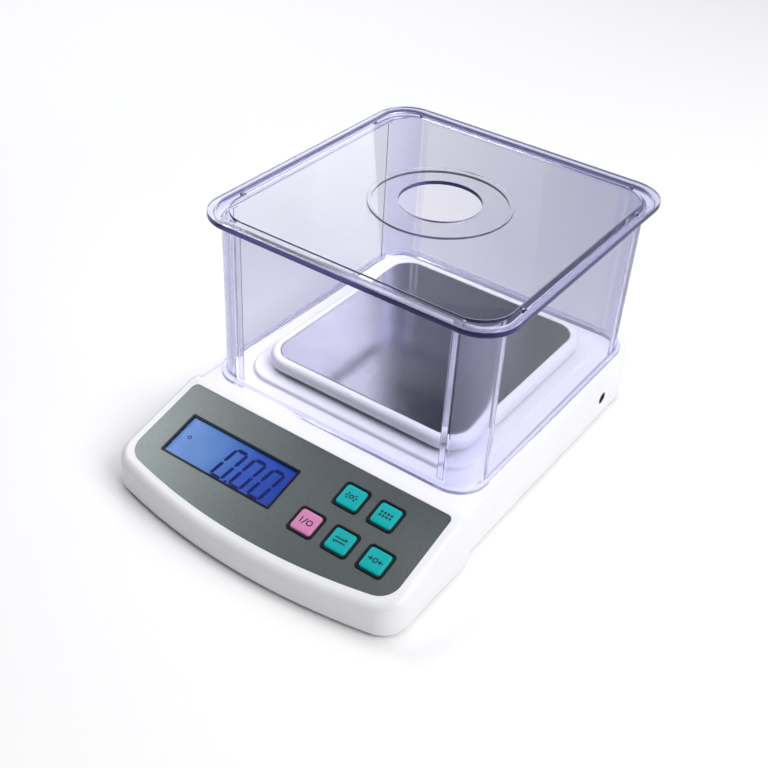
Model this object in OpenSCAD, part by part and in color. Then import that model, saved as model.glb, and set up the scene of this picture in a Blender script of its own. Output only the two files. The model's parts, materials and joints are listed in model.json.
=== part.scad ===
// Bench gram scale with a clear draft shield.
// +Z is up, -Y is the display side, and Z = 0 is the surface under the feet.
// Every module draws about the pan's centre line, and placed() moves the whole
// scale so that the origin is under the middle of the casing.

/* [Casing] */
// Width of the front section
body_w = 177; // [170:0.5:190]
// Width of the rear deck
rear_w = 171; // [168:0.5:176]
// Distance from the pan's centre to the front edge
front_reach = 165; // [160:0.5:180]
// Distance from the pan's centre to the rear edge
rear_reach = 92; // [90:0.5:110]
// Height of the rear deck above the table
deck_z = 34.8; // [33:0.1:40]
// Wall thickness of the casing
wall = 2.2; // [1.6:0.1:2.6]
// Radius of the bowed front edge
bow_r = 350; // [250:5:600]
// Radius of the casing's corners
corner_r = 14; // [10:0.5:18]
// Height of the casing's lower edge
skirt_z = 2; // [1.5:0.1:2.4]

/* [Control panel] */
// Tilt of the control panel in degrees
slope = 15; // [10:0.5:18]
// Distance from the pan's centre to the crease above the panel
crease_reach = 97; // [95:0.5:99]
// Distance from the pan's centre to the overlay's straight edge
panel_reach = 98.3; // [97.5:0.1:101]
// Width of the overlay
overlay_w = 163.8; // [150:0.2:168]
// Length of the overlay down the slope, on the centre line
overlay_len = 61.9; // [58:0.1:63]
// Radius of the overlay's bowed front edge
overlay_bow_r = 345; // [250:5:600]
// Width of the display opening
display_w = 71.7; // [60:0.1:72]
// Height of the display opening
display_h = 26.9; // [20:0.1:28]
// Centre of the display across the panel
display_x = -32.75; // [-36:0.05:-30]
// Centre of the display down the slope
display_v = 29.6; // [24:0.1:34]
// Width of a key cap
key_w = 12.4; // [10:0.1:12.6]
// Distance between neighbouring keys in a row
key_pitch = 20.4; // [18:0.1:22]
// Centre of the key group across the panel
key_x = 44.1; // [42:0.1:46]
// Upper row of keys, down the slope
key_row_a = 16.1; // [14:0.1:17]
// Lower row of keys, down the slope
key_row_b = 38.9; // [36:0.1:40]
// Travel of a key
key_travel = 0.6; // [0.3:0.1:0.6]

/* [Weighing pan] */
// Width of the steel plate
plate_w = 118; // [110:0.5:120]
// Depth of the steel plate
plate_d = 124.6; // [115:0.1:126]
// Thickness of the steel plate
plate_t = 1.2; // [0.6:0.1:1.5]
// Width of the tray's lip outside the plate
lip_w = 5.3; // [4:0.1:5.5]
// Height of the top of the tray's lip
lip_z = 46.6; // [45.5:0.1:50]
// Post spacing across the scale
post_dx = 76; // [60:1:90]
// Post spacing from front to back
post_dy = 80; // [60:1:90]
// Downward travel of the platform at full load
load_travel = 0.4; // [0.2:0.05:0.4]

/* [Draft shield] */
// Outside width of the shield's walls
shield_w = 162; // [156:0.5:164]
// Outside depth of the shield's walls
shield_d = 169; // [160:0.5:172]
// Thickness of the shield's walls
shield_t = 2.2; // [1.8:0.1:2.6]
// Corner radius of the shield's walls
shield_r = 16; // [12:0.5:18]
// Height of the top of the shield's rim
rim_z = 132; // [100:0.5:160]
// Outside width of the rim
rim_w = 176; // [174:0.5:180]
// Outside depth of the rim
rim_d = 179.4; // [176:0.2:184]
// Radius of the finger hole in the lid
hole_r = 21.4; // [15:0.1:24]
// Radius of the raised disc round the finger hole
disc_r = 37.5; // [32:0.5:42]

/* [Hidden] */
$fn = 64;
e = 0.01;                      // overshoot of a cut past a face

// Colours
white_plastic = [0.95, 0.95, 0.96];
clear_violet = [0.72, 0.73, 0.92, 0.4];
steel = [0.55, 0.57, 0.62];
aluminium = [0.75, 0.76, 0.78];
board_green = [0.1, 0.4, 0.22];
black_plastic = [0.06, 0.06, 0.07];
teal = [0.05, 0.7, 0.7];
pink = [0.88, 0.55, 0.73];

// Casing
shift_y = (front_reach - rear_reach) / 2;
section_reach = 90;            // where the wider front section ends
base_z = skirt_z + 0.6;        // underside of the base plate
base_top = base_z + 2.2;       // top of the base plate
base_gap = 0.3;                // gap between base plate and skirt
pad = [142, 149, 18];          // raised pad on the deck: width, depth, radius
pad_z = deck_z + 2.5;

// Panel frame: origin on the overlay's top face at its straight edge
face_step = 0.3;               // the casing stands this much above the overlay
overlay_t = 0.4;
overlay_seat = 0.05;           // adhesive under the overlay
overlay_r = 11;
panel_z = deck_z - (panel_reach - crease_reach) * tan(slope) - face_step / cos(slope);
panel_under = face_step - wall;        // underside of the panel wall, panel frame
lcd_top = -1.5;                // top of the display glass, panel frame
lcd_low = -3.7;                // underside of the display glass
board_top = -8.5;              // top of the board, panel frame
board_t = 1.6;
board = [154, 46];             // board width and length
board_v = 31;                  // board centre down the slope
board_posts = [for (x = [-74, 74], v = [board_v - 20, board_v + 20]) [x, v]];

// Keys: name order is light, count, power, mode, tare
key_spots = [
    [key_x - key_pitch / 2, key_row_a], [key_x + key_pitch / 2, key_row_a],
    [key_x - key_pitch, key_row_b], [key_x, key_row_b],
    [key_x + key_pitch, key_row_b]];
key_top = 0.9;                 // cap's height above the overlay
surround_w = key_w + 2.8;      // ring round a key
key_opening = surround_w + 0.3;        // hole in the overlay and the casing
switch_top = -4.3;             // top of a switch's button, panel frame

// Weighing pan
plate_r = 12;
plate_top = lip_z - 0.4;
tray_floor = plate_top - plate_t;      // face that carries the plate
tray_w = plate_w + 2 * lip_w;
tray_d = plate_d + 2 * lip_w;
tray_r = 17;
tray_low = 40;                 // lower edge of the tray's skirt
cap_top = 39.5;                // rubber caps carry the tray here
cap_r = 6;
post_r = 3.95;
support_z = 28;                // underside of the bracket
support_t = 3;
posts = [for (x = [-1, 1], y = [-1, 1]) [x * post_dx / 2, y * post_dy / 2]];

// Load cell, along Y, fixed at the rear end
cell = [12.7, 80, 12.7];
cell_z = 12.8;
cell_holes = [22, 36];         // screw distances from the pan's centre
cell_pad_top = 9.8;
thread_r = 2;
lead_r = 1.2;

// Draft shield
foot_w = 166;
foot_d = 175;
foot_t = 2.4;
rim_r = 20;
rim_t = 3.3;                   // height of the rim's outer band
ledge_z = rim_z - 2.8;         // the lid rests here
ledge_t = 2;
recess = 168.6;                // square recess for the lid
recess_r = 16;
lid_w = 161;
lid_r = 18;
lid_t = 2;
tab_t = 1.2;
tab_reach = 168;               // across two opposite tabs
tab_side = 112;                // length of the left and right tabs
tab_front = 132;               // length of the front and rear tabs
disc_t = 1.4;

// Battery box
box_x = -46;
box_y = 41;
box_in = [54.4, 61];           // inside length and width
box_wall = 1.8;
box_top = 20.4;
aa_r = 7.1;
aa_len = 50;
aa_pitch = 15;
door_t = 1.6;

screw_spots = [
    [-79.3, 72], [79.3, 72], [-79.3, -40], [79.3, -40], [-80.5, -136], [80.5, -136]];
foot_spots = [[-68, 80], [68, 80], [-70, -140], [70, -140]];
jack_y = 55;
jack_z = 14.7;
jack_w = 9;

// ---------- helpers ----------

// Moves the pan's frame to the part's frame
module placed() translate([0, shift_y, 0]) children();

// Frame of the sloping panel: x across, y up the slope, z out of the face
module on_panel() translate([0, -panel_reach, panel_z]) rotate([slope, 0, 0]) children();

// Rectangle with round corners, centred, with exact arcs
module rounded(w, d, r) {
    square([w - 2 * r, d], center = true);
    square([w, d - 2 * r], center = true);
    for (x = [-1, 1], y = [-1, 1])
        translate([x * (w / 2 - r), y * (d / 2 - r)]) circle(r = r);
}

module slab(w, d, r, z0, z1) translate([0, 0, z0]) linear_extrude(z1 - z0) rounded(w, d, r);

module rod(r, z0, z1) translate([0, 0, z0]) cylinder(r = r, h = z1 - z0);

// Outline with straight sides, a bowed front and round front corners
module bowed(half_w, back, front, bow, r) {
    bow_y = front + bow;
    corner_x = half_w - r;
    corner_y = bow_y - sqrt(pow(bow - r, 2) - pow(corner_x, 2));
    far = 1.2;
    intersection() {
        translate([0, bow_y]) circle(r = bow, $fn = 240);
        polygon([
            [-corner_x, corner_y], [corner_x, corner_y],
            [corner_x * far, bow_y - (bow_y - corner_y) * far],
            [-corner_x * far, bow_y - (bow_y - corner_y) * far]]);
    }
    translate([-half_w, corner_y]) square([2 * half_w, back - corner_y]);
    for (s = [-1, 1]) translate([s * corner_x, corner_y]) circle(r = r);
}

// Plan outline of the casing, drawn in by inset
module casing_outline(inset) {
    bowed(body_w / 2 - inset, -section_reach - inset, -front_reach + inset,
        bow_r - inset, corner_r - inset);
    half_w = rear_w / 2 - inset;
    rear = rear_reach - inset;
    r = corner_r - inset;
    translate([-half_w, -section_reach - corner_r])
        square([2 * half_w, section_reach + corner_r + rear - r]);
    translate([-half_w + r, 0]) square([2 * (half_w - r), rear]);
    for (s = [-1, 1]) translate([s * (half_w - r), rear - r]) circle(r = r);
}

// Side profile of the casing extruded across it, lowered by drop
module side_profile(drop, low) {
    crease = -crease_reach + drop * tan(slope / 2);
    front = -front_reach - 10;
    top = deck_z - drop;
    translate([-body_w, 0, 0]) rotate([90, 0, 90]) linear_extrude(2 * body_w)
        polygon([
            [rear_reach + 10, low], [rear_reach + 10, top], [crease, top],
            [front, top + (front - crease) * tan(slope)], [front, low]]);
}

// Solid bounded by the casing's outline and profile
module casing_body(inset, drop, low) {
    intersection() {
        translate([0, 0, low]) linear_extrude(deck_z + 10) casing_outline(inset);
        side_profile(drop, low - 1);
    }
}

// Outline of the overlay in the panel frame
module overlay_outline(grow) {
    intersection() {
        bowed(overlay_w / 2 + grow, grow, -overlay_len - grow,
            overlay_bow_r + grow, overlay_r + grow);
        translate([0, -overlay_len]) rounded(
            overlay_w + 2 * grow, 2 * (overlay_len + grow), 3 + grow);
    }
}

module at_keys() for (k = key_spots) translate([k[0], -k[1], 0]) children();

module at_display() translate([display_x, -display_v, 0]) children();

// ---------- casing ----------

module upper_casing() placed() color(white_plastic) difference() {
    union() {
        difference() {
            casing_body(0, 0, skirt_z);
            casing_body(wall, wall, skirt_z - 1);
        }
        slab(pad[0], pad[1], pad[2], deck_z - e, pad_z);
        intersection() {
            for (s = screw_spots) translate(s) rod(3.4, base_top + 0.2, deck_z);
            casing_body(0.5, 0.5, skirt_z);
        }
        on_panel() for (p = board_posts) translate([p[0], -p[1], 0])
            rod(3, board_top, panel_under + 0.5);
    }
    on_panel() translate([0, 0, -overlay_t - overlay_seat])
        linear_extrude(8) overlay_outline(0.15);
    on_panel() at_display()
        translate([0, 0, -5]) linear_extrude(10) rounded(display_w, display_h, 1);
    on_panel() at_keys()
        translate([0, 0, -5]) linear_extrude(10) rounded(key_opening, key_opening, 2.5);
    on_panel() for (p = board_posts) translate([p[0], -p[1], 0])
        rod(1.1, board_top - 1, -3);
    for (p = posts) translate(p) rod(7.5, deck_z - wall - 1, pad_z + 1);
    for (s = screw_spots) translate(s) rod(1.3, base_top - 1, base_top + 10);
    translate([rear_w / 2 - wall - 1, jack_y, jack_z]) rotate([0, 90, 0]) rod(3.6, 0, 10);
}

module lower_casing() placed() color(white_plastic) difference() {
    union() {
        translate([0, 0, base_z]) linear_extrude(base_top - base_z)
            casing_outline(wall + base_gap);
        translate([box_x, box_y, 0]) slab(
            box_in[0] + 2 * box_wall, box_in[1] + 2 * box_wall, 1.5,
            base_top - e, box_top + box_wall);
        translate([-9, 14, base_top - e]) cube([18, 30, cell_pad_top - base_top + e]);
        translate([0, -32, 0]) rod(5, base_top - e, 9);
        translate([0, -32, 0]) slab(24, 24, 2, base_top - e, base_top + 1);
        translate([70, jack_y - 6, base_top - e])
            cube([12, 12, jack_z - 5.6 - base_top]);
        for (f = foot_spots) translate(f) rod(8, base_top - e, base_top + 1);
        for (y = [-70, -50]) translate([-60, y, base_top - e]) cube([120, 1.6, 2.4]);
    }
    translate([box_x, box_y, 0]) slab(box_in[0], box_in[1], 1, base_z - 1, box_top);
    translate([box_x, box_y, 0]) slab(
        box_in[0] + 2, box_in[1] + 2, 1.5, base_z - 1, base_z + door_t + 0.1);
    for (y = cell_holes) translate([0, y, 0]) {
        rod(2.2, base_z - 1, cell_pad_top + 1);
        rod(4, base_z - 1, base_z + 3.2);
    }
    translate([0, -32, 0]) rod(2.2, base_z - 1, 10);
    for (f = foot_spots) translate(f) rod(6.2, base_z - 1, base_z + 1);
    for (s = screw_spots) translate(s) {
        rod(1.7, base_z - 1, base_top + 1);
        rod(3.2, base_z - 1, base_z + 1.3);
    }
}

module feet() placed() color(black_plastic)
    for (f = foot_spots) translate(f) {
        rod(6, 0.6, base_z + 0.95);
        rod(5.4, 0, 0.7);
    }

module casing_screws() placed() color(steel)
    for (s = screw_spots) translate(s) difference() {
        union() {
            rod(1.2, base_z + 1.2, base_top + 8);
            rod(2.9, base_z - 0.3, base_z + 1.25);
        }
        translate([0, 0, base_z - 0.4]) for (a = [0, 90]) rotate(a)
            translate([-1.8, -0.35, 0]) cube([3.6, 0.7, 1]);
    }

module battery_door() placed() color(white_plastic) translate([box_x, box_y, 0]) difference() {
    slab(box_in[0] + 1.4, box_in[1] + 1.4, 1.2, base_z, base_z + door_t);
    for (i = [0:3]) translate([-10, box_in[1] / 2 - 8 - 2 * i, base_z - e])
        cube([20, 0.9, 0.5]);
}

module batteries() placed() color([0.15, 0.3, 0.55]) for (i = [0:3])
    translate([box_x, box_y + (i - 1.5) * aa_pitch, base_z + door_t + 0.3 + aa_r])
        rotate([0, i % 2 == 0 ? 90 : -90, 0]) {
            rod(aa_r, -aa_len / 2, aa_len / 2 - 1.4);
            rod(2.6, aa_len / 2 - 1.5, aa_len / 2);
        }

// Flat contact against a cell's button, and three rings of a conical spring at its base
module battery_contacts() placed() color(steel) for (i = [0:3])
    translate([box_x, box_y + (i - 1.5) * aa_pitch, base_z + door_t + 0.3 + aa_r])
        rotate([0, i % 2 == 0 ? 90 : -90, 0]) {
            translate([-5, -5, box_in[0] / 2 - 0.5]) cube([10, 10, 0.45]);
            translate([-5, -5, -box_in[0] / 2 + 0.05]) cube([10, 10, 0.45]);
            rod(3.6, -box_in[0] / 2 + 0.4, -box_in[0] / 2 + 1.2);
            rod(2.6, -box_in[0] / 2 + 1.1, -aa_len / 2 - 0.05);
            rod(1.6, box_in[0] / 2 - 2.15, box_in[0] / 2 - 0.4);
        }

module dc_jack() placed() color(black_plastic)
    translate([rear_w / 2 - wall - 0.2, jack_y, jack_z]) rotate([0, 90, 0]) {
        difference() {
            union() {
                translate([-5.5, -jack_w / 2, -13]) cube([11, jack_w, 13]);
                rod(3.4, -1, wall);
            }
            rod(2.8, -11, wall + 1);
        }
        rod(1, -12, -1);
    }

// ---------- control panel ----------

module control_overlay() placed() color([0.58, 0.59, 0.61]) on_panel() difference() {
    translate([0, 0, -overlay_t]) linear_extrude(overlay_t) overlay_outline(0);
    at_display() translate([0, 0, -1]) linear_extrude(2) rounded(display_w, display_h, 1);
    at_keys() translate([0, 0, -1]) linear_extrude(2) rounded(key_opening, key_opening, 2.5);
}

module display_frame() placed() color([0.05, 0.06, 0.15]) on_panel() at_display() difference() {
    union() {
        slab(display_w - 0.2, display_h - 0.2, 0.9, -3, 0.1);
        slab(display_w + 3, display_h + 3, 1.5, -3, panel_under - 0.05);
    }
    slab(display_w - 2.6, display_h - 2.6, 0.6, -4, 1);
    slab(display_w - 1, display_h - 1, 0.4, -4, lcd_top + 0.05);
}

module display_window() placed() color([0.8, 0.85, 0.95, 0.3]) on_panel() at_display()
    slab(display_w - 2.8, display_h - 2.8, 0.5, lcd_top + 0.05, -0.2);

module lcd_glass() placed() color([0.15, 0.3, 0.75]) on_panel() at_display()
    slab(display_w - 1.4, display_h - 1.4, 0.3, lcd_low, lcd_top);

module lcd_backlight() placed() color([0.85, 0.9, 1]) on_panel() at_display() {
    slab(display_w - 1.4, display_h - 1.4, 0.3, -8, lcd_low - 0.05);
    for (x = [-1, 1], y = [-1, 1]) translate([x * 32, y * 10]) rod(0.8, board_top, -7.9);
}

module key_surrounds() placed() color(black_plastic) on_panel() at_keys() difference() {
    union() {
        slab(surround_w, surround_w, 2.4, -2.6, 0.45);
        slab(surround_w + 2.6, surround_w + 2.6, 2.6, -2.6, panel_under - 0.05);
    }
    slab(key_w + 0.5, key_w + 0.5, 2, -4, 1);
}

module key(index) on_panel() translate([key_spots[index][0], -key_spots[index][1], 0]) {
    slab(key_w, key_w, 1.8, -3, key_top);
    slab(key_w + 2.4, key_w + 2.4, 2, -3.4, -2.65);
    rod(1.5, switch_top + key_travel + 0.05, -3.3);
}

module key_light() placed() color(teal) key(0);
module key_count() placed() color(teal) key(1);
module key_power() placed() color(pink) key(2);
module key_mode() placed() color(teal) key(3);
module key_tare() placed() color(teal) key(4);

module main_board() placed() color(board_green) on_panel() difference() {
    translate([0, -board_v, 0]) slab(board[0], board[1], 2, board_top - board_t, board_top);
    for (p = board_posts) translate([p[0], -p[1], 0]) rod(1.4, board_top - 3, board_top + 1);
}

module tact_switches() placed() color(black_plastic) on_panel() at_keys() {
    slab(6, 6, 0.5, board_top, -5);
    rod(1.7, -5.1, switch_top);
}

// Metal can, main chip, regulator and lead header under the board
module board_parts() placed() color([0.3, 0.31, 0.33]) on_panel() {
    under = board_top - board_t;
    translate([-40, -28, 0]) slab(24, 18, 1, under - 3, under);
    translate([0, -30, 0]) slab(14, 14, 0.5, under - 1.6, under);
    translate([55, -24, 0]) slab(8, 7, 0.5, under - 3.5, under);
    translate([28, -14, 0]) slab(11, 5, 0.5, under - 4, under);
    translate([30, -34, 0]) rod(2, under - 5, under);
}

module board_screws() placed() color(steel) on_panel()
    for (p = board_posts) translate([p[0], -p[1], 0]) {
        rod(1, board_top - board_t - 0.1, -4);
        rod(2.4, board_top - board_t - 1.5, board_top - board_t);
    }

// ---------- weighing mechanism ----------

module load_cell() placed() color(aluminium) difference() {
    translate([-cell[0] / 2, -cell[1] / 2, cell_z]) cube(cell);
    translate([0, 0, cell_z + cell[2] / 2]) rotate([0, 90, 0]) {
        for (y = [-9, 9]) translate([0, y, 0]) rod(4.9, -cell[0], cell[0]);
        translate([-1.5, -9, -cell[0]]) cube([3, 18, 2 * cell[0]]);
    }
    for (y = cell_holes, s = [-1, 1]) translate([0, s * y, 0])
        rod(thread_r, cell_z - 1, cell_z + cell[2] + 1);
}

module strain_gauges() placed() color([0.92, 0.9, 0.85])
    for (z = [cell_z - 0.6, cell_z + cell[2]], y = [-9, 9])
        translate([0, y, 0]) slab(9, 12, 1.5, z, z + 0.6);

module cell_spacer(y, z0, z1) difference() {
    translate([0, y, 0]) slab(12.7, 24, 1, z0, z1);
    for (h = cell_holes) translate([0, sign(y) * h, 0]) rod(2.3, z0 - 1, z1 + 1);
}

module cell_spacer_fixed() placed() color(aluminium) cell_spacer(28.5, cell_pad_top, cell_z);

module cell_spacer_free() placed() color(aluminium)
    cell_spacer(-28.5, cell_z + cell[2], support_z);

module cell_screws_fixed() placed() color(steel)
    for (y = cell_holes) translate([0, y, 0]) difference() {
        union() {
            rod(thread_r - 0.1, base_z + 3.1, cell_z + 8);
            rod(3.5, base_z + 0.2, base_z + 3.2);
        }
        rod(1.5, base_z, base_z + 2, $fn = 6);
    }

module cell_screws_free() placed() color(steel)
    for (y = cell_holes) translate([0, -y, 0]) difference() {
        union() {
            rod(thread_r - 0.1, cell_z + 5, support_z + support_t - 1.1);
            rod(3.4, support_z + support_t - 1.2, support_z + support_t);
        }
        rod(1.3, support_z + support_t - 0.9, support_z + support_t + 1, $fn = 6);
    }

module overload_stop() placed() color(steel) translate([0, -32, 0]) {
    rod(2.1, base_z + 0.2, cell_z - load_travel - 0.2);
    rod(3.4, 9, 10.6);
}

module pan_support() placed() color(aluminium) difference() {
    union() {
        translate([0, 0, support_z]) linear_extrude(support_t) {
            square([20, 88], center = true);
            for (s = [-1, 1]) translate([0, s * post_dy / 2])
                square([post_dx, 12], center = true);
            for (p = posts) translate(p) circle(r = 7);
        }
        for (p = posts) translate(p) rod(post_r, support_z + 1, cap_top - 1);
    }
    for (y = cell_holes) translate([0, -y, 0]) {
        rod(2.3, support_z - 1, support_z + support_t + 1);
        rod(3.6, support_z + support_t - 1.2, support_z + support_t + 1);
    }
    translate([0, 12, 0]) slab(10, 40, 3, support_z - 1, support_z + support_t + 1);
}

module support_caps() placed() color(black_plastic)
    for (p = posts) translate(p) difference() {
        rod(cap_r, 35.5, cap_top);
        rod(post_r + 0.05, 35, cap_top - 1);
    }

module pan_tray() placed() color(white_plastic) difference() {
    union() {
        difference() {
            slab(tray_w, tray_d, tray_r, tray_low, lip_z);
            slab(tray_w - 4, tray_d - 4, tray_r - 2, tray_low - 1, tray_floor - 1.8);
        }
        for (p = posts) translate(p) rod(8.2, cap_top - 1.2, tray_floor - 1);
    }
    slab(plate_w + 0.6, plate_d + 0.6, plate_r + 0.3, tray_floor, lip_z + 1);
    for (p = posts) translate(p) rod(cap_r + 0.4, cap_top - 2, cap_top);
}

module pan_plate() placed() color(steel) slab(plate_w, plate_d, plate_r, tray_floor, plate_top);

// Runs from the fixed end of the load cell along the base to the board
lead_path = [
    [6.6, 28, 19], [12, 27, 18.6], [17, 24, 15], [19, 17, 9.5], [19.5, 8, 7],
    [19.5, -10, 6.6], [20, -30, 6.6], [22, -44, 8.6], [24, -60, 9.2], [25, -75, 9],
    [26, -88, 9], [27, -98, 10], [28, -105.2, 11.9], [28, -108.4, 16]];

function unit(v) = v / norm(v);
function tangent(p, i) = unit(p[min(i + 1, len(p) - 1)] - p[max(i - 1, 0)]);
function ring(p, i, r, n) =
    let (t = tangent(p, i), a = unit(cross(t, [1, 0.2, 0.1])), b = cross(t, a))
    [for (k = [0:n - 1]) p[i] + r * (cos(360 * k / n) * a + sin(360 * k / n) * b)];

// Round tube along a list of points
module tube(p, r, n) {
    rings = len(p);
    polyhedron(
        points = [for (i = [0:rings - 1]) each ring(p, i, r, n)],
        faces = concat(
            [[for (k = [n - 1:-1:0]) k]],
            [for (i = [0:rings - 2], k = [0:n - 1])
                [i * n + k, i * n + (k + 1) % n, (i + 1) * n + (k + 1) % n, (i + 1) * n + k]],
            [[for (k = [0:n - 1]) (rings - 1) * n + k]]));
}

module cell_lead() placed() color([0.2, 0.2, 0.22]) tube(lead_path, lead_r, 8);

// ---------- draft shield ----------

// Vertical ribs inside the walls, beside the round corners
module shield_ribs() {
    inner_x = shield_w / 2 - shield_t;
    inner_y = shield_d / 2 - shield_t;
    rib_w = 3.4;
    rib_t = 0.9;
    height = ledge_z - deck_z - 4;
    for (sx = [-1, 1], sy = [-1, 1]) {
        translate([sx * (shield_w / 2 - shield_r - rib_w / 2), sy * (inner_y - rib_t / 2), deck_z + 2 + height / 2])
            cube([rib_w, rib_t + 0.4, height], center = true);
        translate([sx * (inner_x - rib_t / 2), sy * (shield_d / 2 - shield_r - rib_w / 2), deck_z + 2 + height / 2])
            cube([rib_t + 0.4, rib_w, height], center = true);
    }
}

// Pegs on the ledge that keep the lid's tabs in place
module lid_pegs() for (sx = [-1, 1], sy = [-1, 1]) {
    translate([sx * 82.4, sy * (tab_side / 2 + 1.5), ledge_z - e])
        rod(0.9, 0, 2);
    translate([sx * (tab_front / 2 + 1.5), sy * 82.4, ledge_z - e])
        rod(0.9, 0, 2);
}

module draft_shield() placed() color(clear_violet) {
    difference() {
        union() {
            slab(foot_w, foot_d, shield_r + 1, deck_z + 0.05, deck_z + foot_t);
            slab(shield_w, shield_d, shield_r, deck_z + 1, ledge_z);
            slab(rim_w, rim_d, rim_r, rim_z - rim_t, rim_z);
            slab(recess + 3, recess + 3, recess_r + 1.5, ledge_z - ledge_t, rim_z - 1);
        }
        slab(shield_w - 2 * shield_t, shield_d - 2 * shield_t, shield_r - shield_t,
            deck_z - 1, rim_z + 1);
        slab(recess, recess, recess_r, ledge_z, rim_z + 1);
    }
    shield_ribs();
    lid_pegs();
}

module shield_lid() placed() color(clear_violet) difference() {
    union() {
        slab(lid_w, lid_w, lid_r, ledge_z + 0.05, ledge_z + lid_t);
        slab(tab_reach, tab_side, 0.8, ledge_z + 0.05, ledge_z + tab_t);
        slab(tab_front, tab_reach, 0.8, ledge_z + 0.05, ledge_z + tab_t);
        rod(disc_r, ledge_z + 0.5, ledge_z + lid_t + disc_t, $fn = 128);
    }
    rod(hole_r, ledge_z - 1, rim_z + 5, $fn = 128);
    rod(disc_r - 2, ledge_z - 1, ledge_z + disc_t, $fn = 128);
}

upper_casing();
lower_casing();
control_overlay();
display_frame();
display_window();
lcd_glass();
lcd_backlight();
key_surrounds();
key_light();
key_count();
key_power();
key_mode();
key_tare();
main_board();
board_parts();
tact_switches();
board_screws();
load_cell();
strain_gauges();
cell_spacer_fixed();
cell_spacer_free();
cell_screws_fixed();
cell_screws_free();
overload_stop();
cell_lead();
pan_support();
support_caps();
pan_tray();
pan_plate();
draft_shield();
shield_lid();
dc_jack();
batteries();
battery_contacts();
battery_door();
feet();
casing_screws();
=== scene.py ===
"""Looks of a bench gram scale with a draft shield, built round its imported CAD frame. Units are metres."""

import json
import math

import bmesh
import bpy
from mathutils import Matrix, Vector


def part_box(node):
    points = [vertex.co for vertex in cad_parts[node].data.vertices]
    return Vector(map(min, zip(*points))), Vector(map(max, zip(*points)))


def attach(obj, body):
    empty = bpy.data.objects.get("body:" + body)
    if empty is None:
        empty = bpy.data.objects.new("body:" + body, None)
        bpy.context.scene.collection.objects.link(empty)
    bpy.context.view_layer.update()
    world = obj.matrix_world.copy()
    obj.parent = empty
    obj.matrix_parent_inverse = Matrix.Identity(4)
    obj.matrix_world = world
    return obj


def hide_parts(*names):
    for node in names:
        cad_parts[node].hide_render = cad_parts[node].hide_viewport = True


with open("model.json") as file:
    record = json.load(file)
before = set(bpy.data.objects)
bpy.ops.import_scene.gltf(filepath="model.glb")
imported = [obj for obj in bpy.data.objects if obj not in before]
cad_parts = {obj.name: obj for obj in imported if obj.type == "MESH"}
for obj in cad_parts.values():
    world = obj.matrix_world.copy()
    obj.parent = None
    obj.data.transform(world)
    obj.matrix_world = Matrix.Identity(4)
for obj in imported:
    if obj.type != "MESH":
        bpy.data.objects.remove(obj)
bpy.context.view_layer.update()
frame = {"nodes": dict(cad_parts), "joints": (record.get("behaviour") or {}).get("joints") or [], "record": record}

MM = 0.001
SHARP = math.radians(32)       # edges that turn more than this stay crisp
CORNER_STEPS = 12              # steps round a quarter turn of a plan outline
EASE_STEPS = 4                 # steps on the profile of a rounded edge

# Casing, as in the CAD source but for its rounded edge and the bend at its crease
WALL = 2.2 * MM
REAR_HALF = 85.5 * MM          # half width of the rear deck
DECK_Z = 34.8 * MM
CREASE = 97 * MM               # from the pan's centre to the crease above the panel
SECTION = 90 * MM              # from the pan's centre to the back of the wider front section
BOW_RADIUS = 350 * MM
CASING_CORNER = 14 * MM
CASING_EASE = 4 * MM           # rounding of the casing's upper edge
CREASE_BLEND = 2.4 * MM        # half length of the bend at the crease
PAD_HALF = (71 * MM, 74.5 * MM)
PAD_RADIUS = 18 * MM
PAD_Z = DECK_Z + 2.5 * MM

# Control panel, in the panel's own frame: x across, y up the slope, z out of its face
OVERLAY_HALF = 81.9 * MM
OVERLAY_LENGTH = 61.9 * MM
OVERLAY_BOW = 345 * MM
OVERLAY_CORNER = 11 * MM
OVERLAY_BACK_CORNER = 3 * MM
OVERLAY_GAP = 0.15 * MM
OVERLAY_SEAT = 0.45 * MM       # depth of the overlay's recess below its face
KEY_FLANGE = 1.2 * MM          # a key's hidden flange beyond its cap
KEY_GAP = 0.25 * MM            # between a cap and its ring
KEY_RING = 1.15 * MM           # width of the ring round a cap

# Pan, shield and lid
PLATE_RADIUS = 12 * MM
TRAY_RADIUS = 17 * MM
SHIELD_HALF = (81 * MM, 84.5 * MM)
SHIELD_T = 2.2 * MM
SHIELD_RADIUS = 16 * MM
RIM_RADIUS = 20 * MM
RECESS_HALF = 84.3 * MM
RECESS_RADIUS = 16 * MM
LID_HALF = 80.5 * MM
LID_RADIUS = 18 * MM
DISC_RADIUS = 37.5 * MM
HOLE_RADIUS = 21.4 * MM


# ---------- places ----------

def middle(node):
    """Centre of a CAD node's box."""
    low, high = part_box(node)
    return (low + high) / 2


def panel_frame():
    """Matrix of the control panel's frame, from the keys' direction of travel and the overlay."""
    press = next(j for j in frame["joints"] if j["name"] == "light_key_press")
    out = -Vector(press["axis"]).normalized()
    up_slope = Vector((0, out.z, -out.y))
    thickness = 0.4 * MM
    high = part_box("control_overlay")[1]
    origin = Vector((0, high.y + thickness * out.y, high.z))
    return Matrix.Translation(origin) @ Matrix((
        (1, 0, 0, 0),
        (0, up_slope.y, out.y, 0),
        (0, up_slope.z, out.z, 0),
        (0, 0, 0, 1)))


PAN = middle("pan_plate")
PANEL = panel_frame()
TO_PANEL = PANEL.inverted()
SLOPE = math.acos(PANEL[2][2])


def panel_box(node):
    """Lowest and highest corner of a CAD node in the panel's frame."""
    points = [TO_PANEL @ v.co for v in frame["nodes"][node].data.vertices]
    low = Vector(min(p[i] for p in points) for i in range(3))
    high = Vector(max(p[i] for p in points) for i in range(3))
    return low, high


# ---------- outlines ----------

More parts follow.
